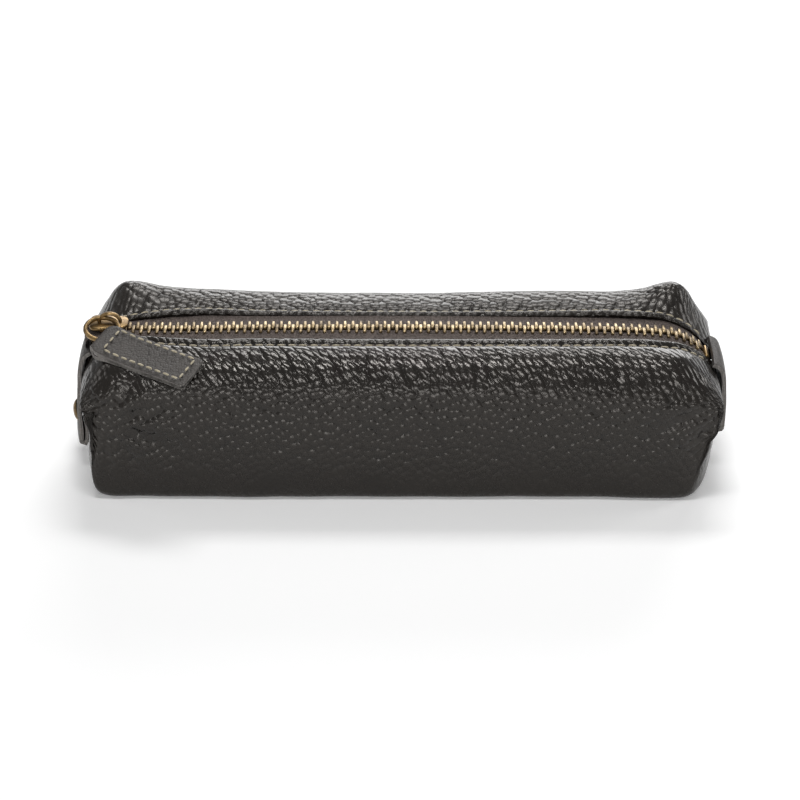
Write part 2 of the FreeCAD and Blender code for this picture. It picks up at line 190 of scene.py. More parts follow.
# materials
def startMaterial(name):
    material = bpy.data.materials.new(name)
    material.use_nodes = True
    tree = material.node_tree
    place = tree.nodes.new("ShaderNodeTexCoord")
    return material, tree, tree.nodes["Principled BSDF"], place.outputs["Object"]


def addTexture(tree, kind, place, values, **options):
    node = tree.nodes.new(kind)
    for name, option in options.items():
        setattr(node, name, option)
    tree.links.new(place, node.inputs["Vector"])
    for name, value in values.items():
        node.inputs[name].default_value = value
    return node


def addNoise(tree, place, scale, detail=3.0, rough=0.5):
    values = {"Scale": scale, "Detail": detail, "Roughness": rough}
    return addTexture(tree, "ShaderNodeTexNoise", place, values).outputs["Fac"]


def addWave(tree, place, scale, turn):  # bands that lie turned about the upright
    spun = addTexture(tree, "ShaderNodeMapping", place, {"Rotation": (0, 0, turn)})
    return addTexture(tree, "ShaderNodeTexWave", spun.outputs["Vector"], {"Scale": scale}).outputs["Fac"]


def addMath(tree, kind, a, b):
    node = tree.nodes.new("ShaderNodeMath")
    node.operation = kind
    for socket, value in zip(node.inputs, (a, b)):
        if hasattr(value, "is_linked"):
            tree.links.new(value, socket)
        else:
            socket.default_value = value
    return node.outputs[0]


def addShare(tree, value, more, share):  # a value with a share of another on top
    return addMath(tree, "ADD", value, addMath(tree, "MULTIPLY", more, share))


def weighted(tree, a, aShare, b, bShare):
    return addShare(tree, addMath(tree, "MULTIPLY", a, aShare), b, bShare)


def addRange(tree, value, low, high, first, last):  # eases from first at low to last at high
    node = tree.nodes.new("ShaderNodeMapRange")
    node.interpolation_type = "SMOOTHSTEP"
    tree.links.new(value, node.inputs["Value"])
    for socket, number in zip(node.inputs[1:5], (low, high, first, last)):
        socket.default_value = number
    return node.outputs["Result"]


def addRamp(tree, value, stops, colours):
    node = tree.nodes.new("ShaderNodeValToRGB")
    tree.links.new(value, node.inputs["Fac"])
    for element, spot, colour in zip(node.color_ramp.elements, stops, colours):
        element.position = spot
        element.color = (*colour, 1)
    return node.outputs["Color"]


def addBump(tree, height, strength, distance):
    node = tree.nodes.new("ShaderNodeBump")
    tree.links.new(height, node.inputs["Height"])
    node.inputs["Strength"].default_value = strength
    node.inputs["Distance"].default_value = distance
    return node.outputs["Normal"]


def greys(*values):
    return [(value,) * 3 for value in values]


hide = {  # the case; each grain has its cell in millimetres and how far it is drawn out
    "lay": 60.0, "pebble": (2.2, 1.1), "stroke": (1.9, 2.7), "bead": (1.8, 1.2),
    "strokeShare": 0.62, "beadShare": 0.12,
    "strokeFrom": (0.035, 0.044), "strokeBack": (-0.008, 0.004),  # height they start at, depth they end at
    "fade": (0.004, 0.022, 0.25), "backFlat": 0.70,  # what is left of the grain by the base and behind
    "power": 2.0, "depth": 0.72, "crease": 0.07, "grain": 0.02,
    "dark": (0.0028, 0.0020, 0.0015), "light": (0.0105, 0.0084, 0.0066),
    "rough": (0.16, 0.24), "matt": 0.08, "shine": 0.44,
}
smallHide = {  # the pull and the tabs
    "pebble": (0.8, 1.0), "power": 2.0, "depth": 0.16, "crease": 0.3, "grain": 0.3,
    "dark": (0.014, 0.0127, 0.0118), "light": (0.062, 0.0562, 0.0526), "rough": (0.40, 0.60), "shine": 0.3,
}
tanning = {  # what both leathers share
    "smoothness": 0.15, "randomness": 0.66, "driftScale": 260, "drift": 0.0011,
    "creaseScale": 700, "creaseStretch": 2.5, "fineScale": 2800, "broadScale": 70,
    # shares of the painted valley shade (from the pebble height) and of the leather's own blotchy tone in the
    # base colour
    "valleyShadeAndToneShares": (0.5, 0.6), "toneStops": (0.30, 0.90),
    "roughShares": (0.5, 0.5), "roughStops": (0.30, 0.75), "tint": (1.0, 0.95, 0.90, 1),
}


def addDrift(tree, place):  # shifts the grain a little, so that it isn't in straight rows
    values = {"Scale": tanning["driftScale"], "Detail": 2}
    drift = addTexture(tree, "ShaderNodeTexNoise", place, values)
    node = tree.nodes.new("ShaderNodeMix")
    node.data_type = "VECTOR"
    node.inputs[0].default_value = tanning["drift"]
    tree.links.new(place, node.inputs[4])
    tree.links.new(drift.outputs["Color"], node.inputs[5])
    return node.outputs[1]


def addLay(tree, place, turn, stretch):  # coordinates drawn out along one direction
    values = {"Rotation": (0, 0, math.radians(turn)), "Scale": (stretch, 1, 1)}
    return addTexture(tree, "ShaderNodeMapping", place, values, vector_type="TEXTURE").outputs["Vector"]


def addPebbles(tree, place, cell, power, dimensions):  # rounded tops with narrow valleys between
    values = {
        "Scale": 1 / (cell * mm), "Smoothness": tanning["smoothness"], "Randomness": tanning["randomness"]}
    node = addTexture(
        tree, "ShaderNodeTexVoronoi", place, values, feature="SMOOTH_F1", voronoi_dimensions=dimensions)
    return addMath(tree, "SUBTRACT", 1.0, addMath(tree, "POWER", node.outputs["Distance"], power))


def leatherMaterial(name, settings):
    material, tree, shader, place = startMaterial(name)
    wrap = "lay" in settings
    skin = place
    if wrap:  # the wrap has its own flat coordinates
        layer = tree.nodes.new("ShaderNodeUVMap")
        layer.uv_map = "grain"
        skin = layer.outputs["UV"]
    skin = addDrift(tree, skin)
    turn = settings.get("lay", 0.0)

    def pebbles(part):
        cell, stretch = settings[part]
        spots = addLay(tree, skin, turn, stretch)
        return addPebbles(tree, spots, cell, settings["power"], "2D" if wrap else "3D")

    dome = pebbles("pebble")
    cell, stretch = settings["pebble"]
    folds = addLay(tree, skin, turn, stretch * tanning["creaseStretch"])
    crease = addNoise(tree, folds, tanning["creaseScale"] / cell, detail=2.0)
    fine = addNoise(tree, place, tanning["fineScale"])
    broad = addNoise(tree, place, tanning["broadScale"])
    if wrap:  # the grain draws out into strokes where the leather bends over the front
        split = tree.nodes.new("ShaderNodeSeparateXYZ")
        tree.links.new(place, split.inputs["Vector"])
        upper = addRange(tree, split.outputs["Z"], *settings["strokeFrom"], 0.0, 1.0)
        front = addRange(tree, split.outputs["Y"], *settings["strokeBack"], 1.0, 0.0)
        drawn = addMath(tree, "MULTIPLY", upper, front)
        strokes = weighted(
            tree, pebbles("stroke"), settings["strokeShare"], pebbles("bead"), settings["beadShare"])
        blend = tree.nodes.new("ShaderNodeMix")
        for k, value in ((0, drawn), (2, dome), (3, strokes)):
            tree.links.new(value, blend.inputs[k])
        dome = blend.outputs[0]
    height = addShare(tree, dome, fine, settings["grain"])
    height = addShare(tree, height, crease, settings["crease"])
    if wrap:  # pressed flatter towards the base and on the back of the top
        fade = addRange(tree, split.outputs["Z"], *settings["fade"], 1.0)
        height = addMath(tree, "MULTIPLY", height, fade)
        behind = addMath(tree, "MULTIPLY", upper, addRange(tree, front, 0.0, 1.0, 1.0, 0.0))
        press = addRange(tree, behind, 0.0, 1.0, 1.0, settings["backFlat"])
        height = addMath(tree, "MULTIPLY", height, press)
    tree.links.new(addBump(tree, height, 1.0, settings["depth"] * mm), shader.inputs["Normal"])
    # painted shade: the share of the base colour that follows the pebble height darkens the valleys between
    # pebbles and lightens their tops; the broad blotches are the leather's own uneven tone
    valleyShadeShare, broadShare = tanning["valleyShadeAndToneShares"]
    tone = weighted(tree, dome, valleyShadeShare, broad, broadShare)
    colour = addRamp(tree, tone, tanning["toneStops"], (settings["dark"], settings["light"]))
    tree.links.new(colour, shader.inputs["Base Color"])
    broadShare, fineShare = tanning["roughShares"]
    patch = weighted(tree, broad, broadShare, fine, fineShare)
    rough = addRamp(tree, patch, tanning["roughStops"], greys(*settings["rough"]))
    if wrap:  # the drawn grain is polished, the rest is softer
        rough = addMath(tree, "ADD", rough, addRange(tree, drawn, 0.0, 1.0, settings["matt"], 0.0))
    tree.links.new(rough, shader.inputs["Roughness"])
    shader.inputs["Specular Tint"].default_value = tanning["tint"]
    shader.inputs["Specular IOR Level"].default_value = settings["shine"]
    return material


patina = {
    "scale": 260, "speckScale": 2600, "shares": (0.8, 0.2), "toneStops": (0.36, 0.60),
    "roughStops": (0.3, 0.7), "rough": (0.46, 0.24), "bump": 0.25, "pits": 0.04,
}


def brassMaterial(name, dull, bright):
    material, tree, shader, place = startMaterial(name)
    cloud = addNoise(tree, place, patina["scale"], detail=4.0, rough=0.65)
    speck = addNoise(tree, place, patina["speckScale"], detail=2.0)
    cloudShare, speckShare = patina["shares"]
    tone = weighted(tree, cloud, cloudShare, speck, speckShare)
    colour = addRamp(tree, tone, patina["toneStops"], (dull, bright))
    rough = addRamp(tree, tone, patina["roughStops"], greys(*patina["rough"]))
    tree.links.new(colour, shader.inputs["Base Color"])
    tree.links.new(rough, shader.inputs["Roughness"])
    tree.links.new(addBump(tree, speck, patina["bump"], patina["pits"] * mm), shader.inputs["Normal"])
    shader.inputs["Metallic"].default_value = 1.0
    return material


weaving = {
    "waveScale": 3.14 / 6.283, "fuzzScale": 1700, "shares": (0.45, 0.9), "stops": (0.38, 0.95),
    "bump": 0.9, "rough": 0.85, "shine": 0.25,
}


def clothMaterial(name, dark, light, pitch, turn, depth):
    material, tree, shader, place = startMaterial(name)
    scale = 1 / (pitch * mm) * weaving["waveScale"]
    warp = addWave(tree, place, scale, turn)
    weft = addWave(tree, place, scale, turn + math.pi / 2)
    fuzz = addNoise(tree, place, weaving["fuzzScale"], detail=2.0, rough=0.7)
    weaveShare, fuzzShare = weaving["shares"]
    tone = weighted(tree, addMath(tree, "MULTIPLY", warp, weft), weaveShare, fuzz, fuzzShare)
    tree.links.new(addRamp(tree, tone, weaving["stops"], (dark, light)), shader.inputs["Base Color"])
    tree.links.new(addBump(tree, tone, weaving["bump"], depth * mm), shader.inputs["Normal"])
    shader.inputs["Roughness"].default_value = weaving["rough"]
    shader.inputs["Specular IOR Level"].default_value = weaving["shine"]
    return material


spinning = {
    "twistScale": 1500, "twist": 0.9, "fuzzScale": 900, "shares": (0.45, 0.6), "stops": (0.25, 0.8),
    "bump": 0.7, "depth": 0.08, "rough": 0.75,
}


def threadMaterial(name, dark, light):
    material, tree, shader, place = startMaterial(name)
    twist = addWave(tree, place, spinning["twistScale"], spinning["twist"])
    fuzz = addNoise(tree, place, spinning["fuzzScale"])
    twistShare, fuzzShare = spinning["shares"]
    tone = weighted(tree, twist, twistShare, fuzz, fuzzShare)
    tree.links.new(addRamp(tree, tone, spinning["stops"], (dark, light)), shader.inputs["Base Color"])
    tree.links.new(addBump(tree, tone, spinning["bump"], spinning["depth"] * mm), shader.inputs["Normal"])
    shader.inputs["Roughness"].default_value = spinning["rough"]
    return material


leather = leatherMaterial("caseLeather", hide)
strapLeather = leatherMaterial("strapLeather", smallHide)
brass = brassMaterial("antiqueBrass", dull=(0.075, 0.049, 0.025), bright=(0.30, 0.20, 0.09))
toothBrass = brassMaterial("toothBrass", dull=(0.082, 0.058, 0.033), bright=(0.31, 0.235, 0.135))
# strap edges: the grey of their edge paint, made lighter to paint in the highlight on their rounded rims
edgePaintAndHighlight = clothMaterial(
    "edgePaintAndHighlight", (0.15, 0.14, 0.13), (0.33, 0.31, 0.29), pitch=0.9, turn=0.4, depth=0.04)
tapeCloth = clothMaterial(
    "tapeCloth", (0.016, 0.0125, 0.0107), (0.27, 0.220, 0.198), pitch=0.9, turn=0.78, depth=0.3)
liningCloth = clothMaterial(
    "liningCloth", (0.020, 0.018, 0.016), (0.060, 0.053, 0.046), pitch=0.5, turn=0.0, depth=0.10)
thread = threadMaterial("creamThread", (0.28, 0.235, 0.155), (0.60, 0.54, 0.41))
print("materials ready")

# the leather of the case: front and back are (depth, height) sections from the turned edge down to the base
case = {
    "front": [
        (11.5, 45.6), (8.6, 45.7), (6.9, 46.2), (6.4, 47.1), (6.9, 47.9), (7.9, 48.25), (8.9, 47.95),
        (9.7, 47.15), (10.6, 47.55), (12.6, 48.15), (16.5, 47.3), (20.6, 44.6), (23.8, 39.6), (25.4, 33.0),
        (26.0, 25.0), (26.2, 17.0), (26.4, 9.0), (26.5, 3.8), (25.9, 1.0), (23.4, 0.15), (18.5, 0.1),
        (13.0, 0.1), (6.5, 0.1), (0.0, 0.1)],
    "back": [
        (12.5, 46.4), (9.6, 46.5), (8.1, 47.1), (7.8, 48.1), (8.4, 48.95), (9.3, 49.1), (10.2, 48.3),
        (11.2, 48.75), (13.5, 49.3), (17.0, 49.6), (21.0, 49.2), (24.0, 46.4), (25.0, 40.0), (25.2, 32.0),
        (25.2, 24.0), (25.0, 16.5), (24.8, 9.6), (24.3, 4.2), (22.8, 1.2), (19.0, 0.3), (13.0, 0.1),
        (6.5, 0.1), (0.0, 0.1)],
    "edgeReach": 13.2, "edgeStep": 0.33, "step": 1.05, "along": 130, "rings": 50,
    "plain": 66.0, "top": 48, "shoulder": 48.2, "middle": 25, "floor": 0.05,
    "leftSeam": 32.0, "rightSeam": 34.0, "seamReach": 9,
    # (x, height) of the mouth, shoulder and base from the plain middle out to the end seam
    "rightTop": [
        (66, 48.0), (76, 47.5), (84, 46.3), (90.0, 43.6), (94.8, 39.8), (97.6, 36.8), (98.3, 34.6),
        (96.2, 33.6)],
    "rightShoulder": [
        (66, 48.2), (76, 49.0), (82, 50.5), (86.2, 50.8), (89.6, 49.0), (92.4, 45.6), (95.4, 41.4),
        (97.8, 37.6), (98.4, 34.9), (96.2, 33.6)],
    "rightLow": [
        (66, 0), (77, 0), (88, 0), (93.2, 0.4), (96.2, 2.2), (97.5, 6.5), (98.2, 14.0), (98.4, 21.0),
        (98.0, 28.0), (96.2, 33.6)],
    "leftTop": [
        (-66, 48.0), (-77, 47.8), (-87, 46.8), (-94.2, 44.2), (-98.4, 40.2), (-100.2, 36.0),
        (-100.0, 32.6), (-98.4, 31.0), (-96.5, 31.2)],
    "leftShoulder": [
        (-66, 48.2), (-77, 49.1), (-84, 50.4), (-88.6, 50.6), (-91.8, 48.8), (-94.6, 45.4), (-97.4, 41.4),
        (-99.6, 37.2), (-100.1, 33.4), (-98.6, 31.2), (-96.5, 31.2)],
    "leftLow": [
        (-66, 0), (-78, 0), (-89, 0), (-94.6, 0.4), (-97.8, 2.2), (-99.2, 6.5), (-99.7, 13.5),
        (-99.5, 20.5), (-98.5, 26.5), (-96.5, 31.2)],
    "shoulderFrom": (9, 19), "shoulderShare": {-1: 0.35, 1: 1.0},
    # (height, shift) of the upright creases at the ends
    "rightCrease": [
        (0, -5.4), (5, -5.8), (11, -5.0), (21, -3.3), (27, -0.8), (34, 0.5), (39, -0.4), (44, -1.0),
        (49, 0.0)],
    "leftCrease": [
        (0, 2.0), (5, 1.8), (11, 2.0), (18, 3.0), (25, 2.9), (30, 1.6), (34, 0.8), (39, 0.8), (44, 1.0),
        (49, 0.0)],
    "creaseFrom": (66, 90), "creaseDepth": 25.8, "creasePower": 3.4,
    # (x, share) of the mouth's width
    "leftMouth": [
        (-99, 0.40), (-92, 0.57), (-86, 0.64), (-80, 0.80), (-72, 0.98), (-62, 1.08), (-45, 1.0)],
    "rightMouth": [(60, 1.0), (80, 0.95), (90, 0.75), (96, 0.5), (99, 0.25)],
    "mouthFrom": (7, 18),
    "sag": {-1: 0.4, 1: 1.3}, "sagReach": 90, "sagFrom": (34, 47),
}
rumples = {
    "soft": ((0.55, 0.030, (0, 0, 0)), (0.28, 0.075, (7, 3, 1))),  # height, scale and shift
    "ears": ((99, -25, 34), (99, 25, 34), (-92, -26, 27), (-92, 25, 27)),
    "folds": 0.5, "spokes": 9, "swirl": 0.10, "near": (4, 11), "far": (12, 34), "wall": (20, 24),
    "edge": (9, 17), "edgeAbove": 40, "calm": (0.06, 0.45),  # none by the turned edge and the end seams
}
lifting = {"left": (-59, -30), "right": (46, 74), "across": (13.5, 21.5), "up": (36, 43)}


def sag(side, x, z):  # how far the top has sunk
    hollow = max(0.0, 1 - (x / case["sagReach"]) ** 2)
    return case["sag"][side] * hollow * smooth(*case["sagFrom"], z)


def rumple(p):  # soft unevenness and the folds that gather at the end seams
    height = sum(rise * noise.noise(p * scale + Vector(shift)) for rise, scale, shift in rumples["soft"])
    wall, reach = rumples["wall"][0], rumples["far"][1]
    for ear in rumples["ears"]:
        off = p - Vector(ear)
        away = off.length
        if away < reach and abs(p.y) > wall:
            angle = math.atan2(off.z, abs(off.x))
            fold = rumples["folds"] * math.sin(angle * rumples["spokes"] + away * rumples["swirl"])
            fade = smooth(*rumples["near"], away) * (1 - smooth(*rumples["far"], away))
            height += fold * fade * smooth(*rumples["wall"], abs(p.y))
    return height


def sectionPoints(points):  # close together by the turned edge, wider below
    line = fineLine(points)
    edge = [case["edgeStep"] * k for k in range(int(case["edgeReach"] / case["edgeStep"]))]
    count = int((line[1][-1] - edge[-1]) / case["step"])
    rest = [mix(edge[-1], line[1][-1], (k + 1) / count) for k in range(count)]
    return [alongLine(line, at)[0] for at in edge + rest]


def endRings(end):  # mouth, shoulder and base of each ring, outwards
    sets = [through(case[end + part], case["rings"] + 1) for part in ("Top", "Shoulder", "Low")]
    return [(end, *spots) for spots in zip(*sets)]


def middleRings():
    spots = [mix(-case["plain"], case["plain"], k / case["along"]) for k in range(1, case["along"])]
    return [("", Vector((x, case["top"])), Vector((x, case["shoulder"])), Vector((x, 0))) for x in spots]


def casePoints(side):  # rings across the case, and how far each is from its end seam
    section = sectionPoints(case["front"] if side < 0 else case["back"])
    rows, calm = [], []
    for end, mouth, shoulder, low in endRings("left")[::-1] + middleRings() + endRings("right"):
        near = "left" if mouth.x < 0 else "right"
        half = level(case[near + "Mouth"], mouth.x)
        seam = case[near + "Seam"]
        full = case["top"] - seam
        drop = (seam - low.y) / seam
        row = []
        for y, z in section:
            top = mouth.lerp(shoulder, smooth(*case["shoulderFrom"], y) * case["shoulderShare"][side])
            upper = smooth(seam - case["seamReach"], seam + case["seamReach"], z)
            x = mix(low.x, top.x, upper)
            height = seam + (z - seam) * mix(drop, (top.y - seam) / full, upper)
            if end:
                deep = abs(y / case["creaseDepth"]) ** case["creasePower"]
                x += level(case[end + "Crease"], height) * deep * smooth(*case["creaseFrom"], abs(x))
            if half != 1:
                y = mix(y * half, y, smooth(*case["mouthFrom"], y))
            row.append(Vector((x, side * y, height - sag(side, x, height))))
        rows.append(row)
        calm.append(smooth(*rumples["calm"], min((mouth.y - seam) / full, drop)))
    return rows, calm


def zipLift(p):  # how far a point on the zip goes with its lip
    return smooth(*lifting["left"], p.x) * (1 - smooth(*lifting["right"], p.x))


def liftShare(p):  # the same for the leather, fading out down the wall
    return zipLift(p) * (1 - smooth(*lifting["across"], abs(p.y))) * smooth(*lifting["up"], p.z)


def spread(bm, verts):  # flat coordinates in metres: along each column, and down the middle section
    half = len(verts) // 2
    down = withLength([v.co for v in verts[half]])[1]
    runs = [withLength([row[j].co for row in verts])[1] for j in range(len(down))]
    spots = {}
    for i, row in enumerate(verts):
        for j, v in enumerate(row):
            spots[v] = ((runs[j][i] - runs[j][half]) * mm, down[j] * mm)
    layer = bm.loops.layers.uv.new("grain")
    for f in bm.faces:
        for corner in f.loops:
            corner[layer].uv = spots[corner.vert]


leatherPieces, shell, shellNormals = {}, {}, {}
inside = Vector((0, 0, case["middle"]))
for side, name in ((-1, "frontLeather"), (1, "backLeather")):
    rows, calm = casePoints(side)
    bm, verts = gridFrom(rows)
    faceAway(bm, inside)
    for row, share in zip(verts, calm):
        for v in row:
            near = smooth(*rumples["edge"], abs(v.co.y)) if v.co.z > rumples["edgeAbove"] else 1.0
            v.co += v.normal * rumple(v.co) * near * share
            v.co.z = max(v.co.z, case["floor"])
    bm.normal_update()
    shell[side] = [[v.co.copy() for v in row] for row in verts]
    shellNormals[side] = [[v.normal.copy() for v in row] for row in verts]
    spread(bm, verts)
    leatherPieces[side] = finishPiece(name, bm, leather)
print("leather", {o.name: len(o.data.polygons) for o in leatherPieces.values()})

# lining: the same shell, a little inside, from below the turned edge
lining = {"shrink": (0.965, 0.90, 0.92), "start": 26}


def shrunk(p):
    x, y, z = lining["shrink"]
    return Vector((p.x * x, p.y * y, case["middle"] + (p.z - case["middle"]) * z))


liningPieces = {}
for side, name in ((-1, "frontLining"), (1, "backLining")):
    bm, verts = gridFrom([[shrunk(p) for p in row[lining["start"]:]] for row in shell[side]])
    faceAway(bm, inside)
    bmesh.ops.reverse_faces(bm, faces=bm.faces)
    liningPieces[side] = finishPiece(name, bm, liningCloth)
print("lining done")

# zip: tape, teeth and bottom stop on one line of (x, height), with the tape's section as (across, up)
zipper = {
    "line": [
        (-99.2, 41.6), (-99.6, 44.0), (-99.2, 46.0), (-98.1, 46.85), (-96.4, 46.95), (-91, 46.8),
        (-84, 46.6), (-70, 46.6), (-50, 46.9), (-20, 47.1), (10, 47.1), (35, 46.9), (55, 46.7),
        (68, 46.4), (76, 46.1), (82, 45.6), (86.4, 44.6), (90.2, 42.6), (93.6, 39.8), (96.0, 36.6)],
    "tape": [
        (14.0, -0.5), (10.5, -0.25), (7.0, 0.0), (4.2, 0.12), (2.4, 0.2), (1.75, 0.42), (1.35, 0.2),
        (1.3, -0.1), (1.75, -0.42), (2.4, -0.3), (4.2, -0.3), (7.0, -0.45), (10.5, -0.7), (14.0, -0.95)],
    "steps": 240, "narrowTo": 46, "mouthAt": 103.8,  # the left end of the tape is as narrow as the mouth
    "wave": 0.12, "waveScale": 0.06, "waveFrom": (2, 8), "waveShift": (9, 2), "inside": (7, 46.2),
}
tooth = {
    "pitch": 2.5, "first": 12.0, "last": 2.3, "size": (1.3, 4.1, 2.3), "set": -1.15, "round": 0.34,
    "legsFrom": -1.4, "legs": (0.80, 0.86),
}
stop = {"size": (2.0, 6.2, 2.7), "fromEnd": 1.9, "round": 0.5}
zipLine = fineLine(zipper["line"])
zipLength = zipLine[1][-1]


def onZip(distance, across, up):
    spot, ahead = alongLine(zipLine, distance)
    return Vector((spot.x - ahead.y * up, across, spot.y + ahead.x * up))


def tapeWidth(d):
    return level(case["leftMouth"], d - zipper["mouthAt"]) if d < zipper["narrowTo"] else 1.0


tapePieces = {}
apart, shift = zipper["waveShift"]
for side, name in ((-1, "frontTape"), (1, "backTape")):
    rows = []
    for k in range(zipper["steps"] + 1):
        d = zipLength * k / zipper["steps"]
        wide = tapeWidth(d)
        wave = zipper["wave"] * noise.noise(Vector((d * zipper["waveScale"], side * apart, shift)))
        rise = [up + wave * smooth(*zipper["waveFrom"], y) for y, up in zipper["tape"]]
        rows.append([onZip(d, side * y * wide, up) for (y, _), up in zip(zipper["tape"], rise)])
    bm, verts = gridFrom(rows)
    y, z = zipper["inside"]
    faceAway(bm, Vector((0, side * y, z)))
    tapePieces[side] = finishPiece(name, bm, tapeCloth)

toothPieces = {}
for side, name in ((-1, "frontTeeth"), (1, "backTeeth")):
    bm = bmesh.new()
    count = int((zipLength - tooth["first"] - tooth["last"]) / tooth["pitch"])
    for k in range(count):
        d = tooth["first"] + tooth["pitch"] * (k + (0.5 if side > 0 else 0.0))
        one = addBox(bm, tooth["size"], (0, tooth["set"], 0))
        made = roundOff(bm, edgesOf(one), tooth["round"], 2)
        for v in {v for f in made["faces"] for v in f.verts} | {v for v in one if v.is_valid}:
            if v.co.y < tooth["legsFrom"]:  # a head at the middle, thinner legs over the tape
                v.co.x *= tooth["legs"][0]
                v.co.z *= tooth["legs"][1]
            x, y, z = v.co
            v.co = onZip(d + x, -side * y, z)
    bmesh.ops.recalc_face_normals(bm, faces=bm.faces)
    toothPieces[side] = finishPiece(name, bm, toothBrass)
bm = bmesh.new()
addBox(bm, stop["size"])
roundOff(bm, bm.edges[:], stop["round"], 3)
for v in bm.verts:
    v.co = onZip(zipLength - stop["fromEnd"] + v.co.x, v.co.y, v.co.z)
bottomStop = finishPiece("bottomStop", bm, brass)
print("zip", count, "teeth a side")

# stitches: a rounded thread lying along a line
stitching = {
    "pitch": 3.4, "length": 2.6, "width": 0.85, "groove": {-1: 9.95, 1: 10.4}, "lean": 0.10, "lift": 0.12,
    "from": (-93, 44), "to": (60, 38.5),  # x and height of the first stitch and of the last
    "edgeWithin": 40, "grooveWithin": 45,  # points of the section
}
stitch = {"blunt": 0.7, "height": 0.42, "sink": 0.16}  # height and sink are shares of the width


def addStitch(bm, a, b, up, width):
    along = (b - a).normalized()
    aside = up.cross(along).normalized()
    up = along.cross(aside)
    turn = Matrix((along, aside, up)).transposed().to_4x4()
    half = (b - a).length / 2
    for v in bmesh.ops.create_uvsphere(bm, u_segments=8, v_segments=6, radius=1)["verts"]:
        x, y, z = v.co.z, v.co.x, v.co.y
        x = math.copysign(abs(x) ** stitch["blunt"], x)
        rise = z * width * stitch["height"] - stitch["sink"] * width * x * x
        v.co = turn @ Vector((x * half, y * width / 2, rise)) + (a + b) / 2


def stitchRow(bm, line, ups, first, last):
    at = first
    while at + stitching["length"] < last:
        a, ahead = alongLine(line, at)
        b = alongLine(line, at + stitching["length"])[0]
        near = min(range(len(line[0])), key=lambda k: (line[0][k] - a).length_squared)
        up = ups[near]
        aside = up.cross(ahead).normalized() * stitching["lean"]
        lift = up * stitching["lift"]
        addStitch(bm, a - aside + lift, b + aside + lift, up, stitching["width"])
        at += stitching["pitch"]


stitchPieces = {}
for side, name in ((-1, "frontStitches"), (1, "backStitches")):
    middle = shell[side][len(shell[side]) // 2]
    edge = min(range(stitching["edgeWithin"]), key=lambda j: abs(middle[j].y))
    beside = range(edge, stitching["grooveWithin"])
    column = max(j for j in beside if abs(middle[j].y) < stitching["groove"][side])
    path = [row[column] for row in shell[side]]
    ups = [row[column] for row in shellNormals[side]]
    line = withLength(path)
    x, z = stitching["from"]
    begin = next(k for k, p in enumerate(path) if p.x > x and p.z > z)
    x, z = stitching["to"]
    end = max(k for k, p in enumerate(path) if p.x > x and p.z > z)
    bm = bmesh.new()
    stitchRow(bm, line, ups, line[1][begin], line[1][end])
    stitchPieces[side] = finishPiece(name, bm, thread)
print("stitches done")

# straps: a band of leather with thickness, eased rims, and edges in a grey edge paint that is lightened as a
# painted highlight
strap = {"sharp": 1.0, "side": 0.45}  # angle of a rim, and how far sideways an edge's faces look


def thicken(bm, thickness, radius, tipFrom=math.inf):  # past tipFrom a face that looks along x is edge too
    bm.normal_update()
    bmesh.ops.solidify(bm, geom=bm.faces[:] + bm.edges[:] + bm.verts[:], thickness=thickness)
    roundOff(bm, sharpEdges(bm, strap["sharp"]), radius, 2, clamp=True)
    bmesh.ops.recalc_face_normals(bm, faces=bm.faces)
    bm.normal_update()
    # faces that look sideways take the second slot: edge paint, lightened as a painted highlight on the rims
    for f in bm.faces:
        tip = f.normal.x > strap["side"] and f.calc_center_median().x > tipFrom
        if tip or abs(f.normal.y) > strap["side"]:
            f.material_index = 1


# pull: folded round the ring, its two layers stitched together
pull = {
    "hold": (-93.0, -10.2, 48.4), "yaw": -25.5, "pitch": 6.4, "roll": 9.0, "length": 32.4, "width": 13.4,
    "neck": 9.0, "neckTo": (-2.4, 1.6), "leather": 1.6, "loop": 1.1, "corner": 1.3, "round": 0.4, "gap": 0.03,
    "across": 12, "step": 1.0, "tip": (0, 0.4, 1.0, 1.7), "tipFrom": 3, "flat": (20, 10),
    "easeAt": (5.5, 2.6), "ease": 0.25, "turnStep": 18,
}
pullStitch = {"pitch": 2.9, "length": 2.2, "width": 0.72, "lift": 0.06, "box": (3.4, 30.1, 5.0)}
pullPlace = Matrix.Translation(Vector(pull["hold"]))
for angle, axis in (("yaw", "Z"), ("pitch", "Y"), ("roll", "X")):
    pullPlace = pullPlace @ Matrix.Rotation(math.radians(pull[angle]), 4, axis)


def pullWidth(x):
    corner = pull["corner"]
    past = x - pull["length"] + corner
    wide = mix(pull["neck"], pull["width"], smooth(*pull["neckTo"], x))
    if past > 0:
        wide -= 2 * (corner - math.sqrt(max(corner ** 2 - past ** 2, 0)))
    return wide


half = pull["leather"] / 2 + pull["gap"]
loop = pull["loop"] + pull["leather"] / 2
flatEnd, loopStart = pull["easeAt"]
under = [(x, -half) for x in (*[pull["length"] - back for back in pull["tip"]], *pull["flat"])]
under += [(flatEnd, -half - pull["ease"]), (loopStart, -loop + pull["ease"]), (0, -loop)]
turns = [math.radians(d) for d in range(pull["turnStep"], 180, pull["turnStep"])]
around = [(-loop * math.sin(a), -loop * math.cos(a)) for a in turns]
over = [(x, -z) for x, z in under[::-1]]
route = [Vector(p) for p in under + around + over]
spots = []
for a, b in zip(route, route[1:]):
    steps = max(1, int((b - a).length / pull["step"]))
    spots += [a.lerp(b, s / steps) for s in range(steps)]
spots.append(route[-1])
sides = [2 * j / pull["across"] - 1 for j in range(pull["across"] + 1)]
bm, verts = gridFrom([[Vector((x, pullWidth(x) / 2 * side, z)) for side in sides] for x, z in spots])
thicken(bm, pull["leather"], pull["round"], pull["tipFrom"])
bmesh.ops.transform(bm, matrix=pullPlace, verts=bm.verts)
pullPiece = finishPiece("pullLeather", bm, strapLeather, edgePaintAndHighlight)

